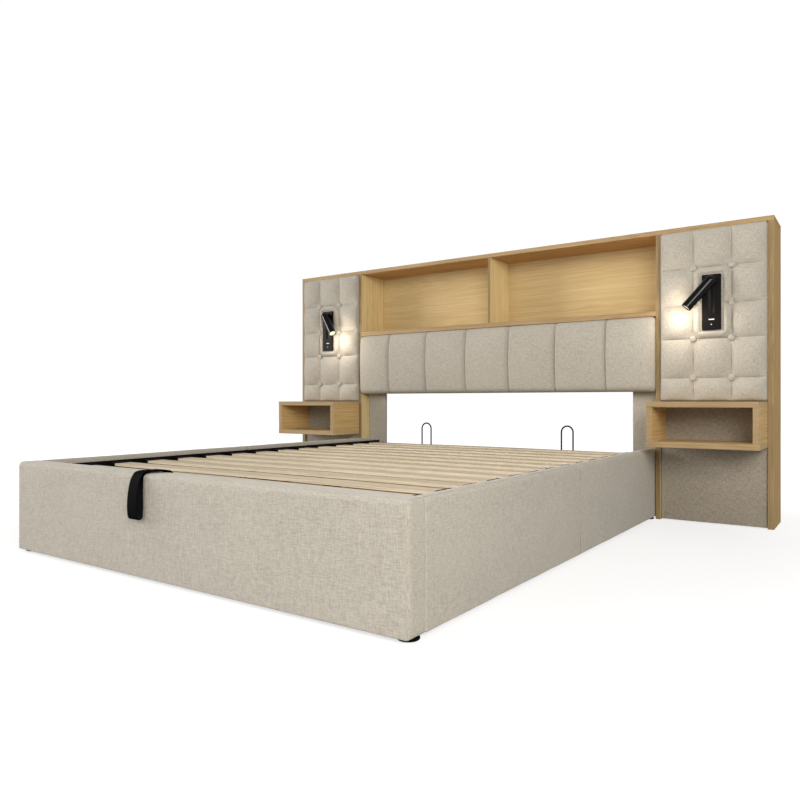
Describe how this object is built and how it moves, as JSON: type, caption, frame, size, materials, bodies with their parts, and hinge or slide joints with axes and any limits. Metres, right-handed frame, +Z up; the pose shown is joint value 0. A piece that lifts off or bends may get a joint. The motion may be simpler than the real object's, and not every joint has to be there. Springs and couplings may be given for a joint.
{
  "type": "ottoman bed",
  "caption": "Upholstered ottoman bed: oak headboard with shelf, tufted side panels, hanging nightstands, reading lamps, gas-lifted slatted platform over storage",
  "frame": {"origin": "under the middle of the bed, on the floor: centre of the bounding box's bottom face", "axes": "+X across the bed, to the left of someone lying in it on their back, +Y from the foot to the headboard, +Z up"},
  "size_m": [2.78, 2.3702, 1.375],
  "materials": {
    "linen": "woven upholstery linen, mottled beige",
    "oak": "light oak, matt varnish",
    "birch": "bent birch plywood, clear lacquer",
    "board": "raw panel board",
    "black_steel": "satin black powder coat",
    "black_plastic": "matt black",
    "webbing": "black woven webbing",
    "lamp_black": "satin black lacquer",
    "lens": "frosted, lit from behind",
    "white_plastic": "white",
    "bright_steel": "ground and polished rod",
    "zinc": "zinc plated",
    "rubber": "matt black"
  },
  "bodies": {
    "bed": {"foot_panel": "linen", "left_rail_front": "linen", "left_rail_rear": "linen", "right_rail_front": "linen", "right_rail_rear": "linen", "rail_joint_plates": "black_steel", "rail_brackets": "black_steel", "bracket_bolts": "zinc", "foot_glides": "black_plastic", "storage_floor": "board", "floor_battens": "birch", "floor_beam": "birch", "head_end_board": "board", "headboard_top": "oak", "headboard_end_left": "oak", "headboard_end_right": "oak", "inner_upright_left": "oak", "inner_upright_right": "oak", "shelf_board": "oak", "shelf_divider": "oak", "shelf_back": "oak", "side_backs": "oak", "headboard_legs": "linen", "cushion_board": "board", "headboard_cushion": "linen", "tufted_panel_left": "linen", "tufted_panel_right": "linen", "tuft_buttons": "linen", "lower_panels": "linen", "nightstand_shelves_left": "oak", "nightstand_shelves_right": "oak", "nightstand_sides_left": "oak", "nightstand_sides_right": "oak", "lamp_plate_left": "lamp_black", "lamp_plate_right": "lamp_black", "charging_sockets": "white_plastic", "hinge_base_left": "black_steel", "hinge_base_right": "black_steel", "platform_rests": "black_steel", "rest_pads": "rubber"},
    "platform": {"platform_frame": "black_steel", "slats": "birch", "slat_holders": "black_plastic", "mattress_retainers": "black_steel", "lift_strap": "webbing", "top_bracket_left": "black_steel", "top_bracket_right": "black_steel"},
    "cylinder_left": {"strut_cylinder_left": "black_steel"},
    "rod_left": {"strut_rod_left": "bright_steel"},
    "lamp_arm_left": {"lamp_knuckle_left": "lamp_black"},
    "lamp_tube_left": {"lamp_head_left": "lamp_black", "lamp_lens_left": "lens"},
    "switch_left": {"lamp_switch_left": "white_plastic"},
    "cylinder_right": {"strut_cylinder_right": "black_steel"},
    "rod_right": {"strut_rod_right": "bright_steel"},
    "lamp_arm_right": {"lamp_knuckle_right": "lamp_black"},
    "lamp_tube_right": {"lamp_head_right": "lamp_black", "lamp_lens_right": "lens"},
    "switch_right": {"lamp_switch_right": "white_plastic"}
  },
  "joints": [
    {"name": "lift", "type": "hinge", "parent": "bed", "child": "platform", "pos_m": [0, 0.6441, 0.245], "axis": [-1, 0, 0], "range_deg": [0, 34]},
    {"name": "strut_foot_left", "type": "hinge", "parent": "bed", "child": "cylinder_left", "pos_m": [-0.781, 0.5391, 0.06313], "axis": [-1, 0, 0], "range_deg": [0, 17]},
    {"name": "strut_head_left", "type": "hinge", "parent": "platform", "child": "rod_left", "pos_m": [-0.781, 0.4341, 0.245], "axis": [-1, 0, 0], "range_deg": [-17, 0]},
    {"name": "strut_foot_right", "type": "hinge", "parent": "bed", "child": "cylinder_right", "pos_m": [0.781, 0.5391, 0.06313], "axis": [-1, 0, 0], "range_deg": [0, 17]},
    {"name": "strut_head_right", "type": "hinge", "parent": "platform", "child": "rod_right", "pos_m": [0.781, 0.4341, 0.245], "axis": [-1, 0, 0], "range_deg": [-17, 0]},
    {"name": "lamp_swivel_left", "type": "hinge", "parent": "bed", "child": "lamp_arm_left", "pos_m": [-1.142, 0.8801, 1.104], "axis": [0, 1, 0], "range_deg": [-137, 213]},
    {"name": "lamp_tilt_left", "type": "hinge", "parent": "lamp_arm_left", "child": "lamp_tube_left", "pos_m": [-1.142, 0.8801, 1.104], "axis": [0.7815, 0, 0.6239], "range_deg": [-77, 13]},
    {"name": "switch_press_left", "type": "slide", "parent": "bed", "child": "switch_left", "axis": [0, 1, 0], "range_m": [0, 0.0015], "stiffness_N_per_m": 400, "springref_m": -0.001},
    {"name": "lamp_swivel_right", "type": "hinge", "parent": "bed", "child": "lamp_arm_right", "pos_m": [1.142, 0.8801, 1.104], "axis": [0, 1, 0], "range_deg": [-213, 137]},
    {"name": "lamp_tilt_right", "type": "hinge", "parent": "lamp_arm_right", "child": "lamp_tube_right", "pos_m": [1.142, 0.8801, 1.104], "axis": [0.7815, 0, -0.6239], "range_deg": [-77, 13]},
    {"name": "switch_press_right", "type": "slide", "parent": "bed", "child": "switch_right", "axis": [0, 1, 0], "range_m": [0, 0.0015], "stiffness_N_per_m": 400, "springref_m": -0.001}
  ],
  "couplings": [
    {"joint": "strut_foot_left", "follows": "lift", "ratio": 0.5},
    {"joint": "strut_head_left", "follows": "lift", "ratio": -0.5},
    {"joint": "strut_foot_right", "follows": "lift", "ratio": 0.5},
    {"joint": "strut_head_right", "follows": "lift", "ratio": -0.5}
  ]
}
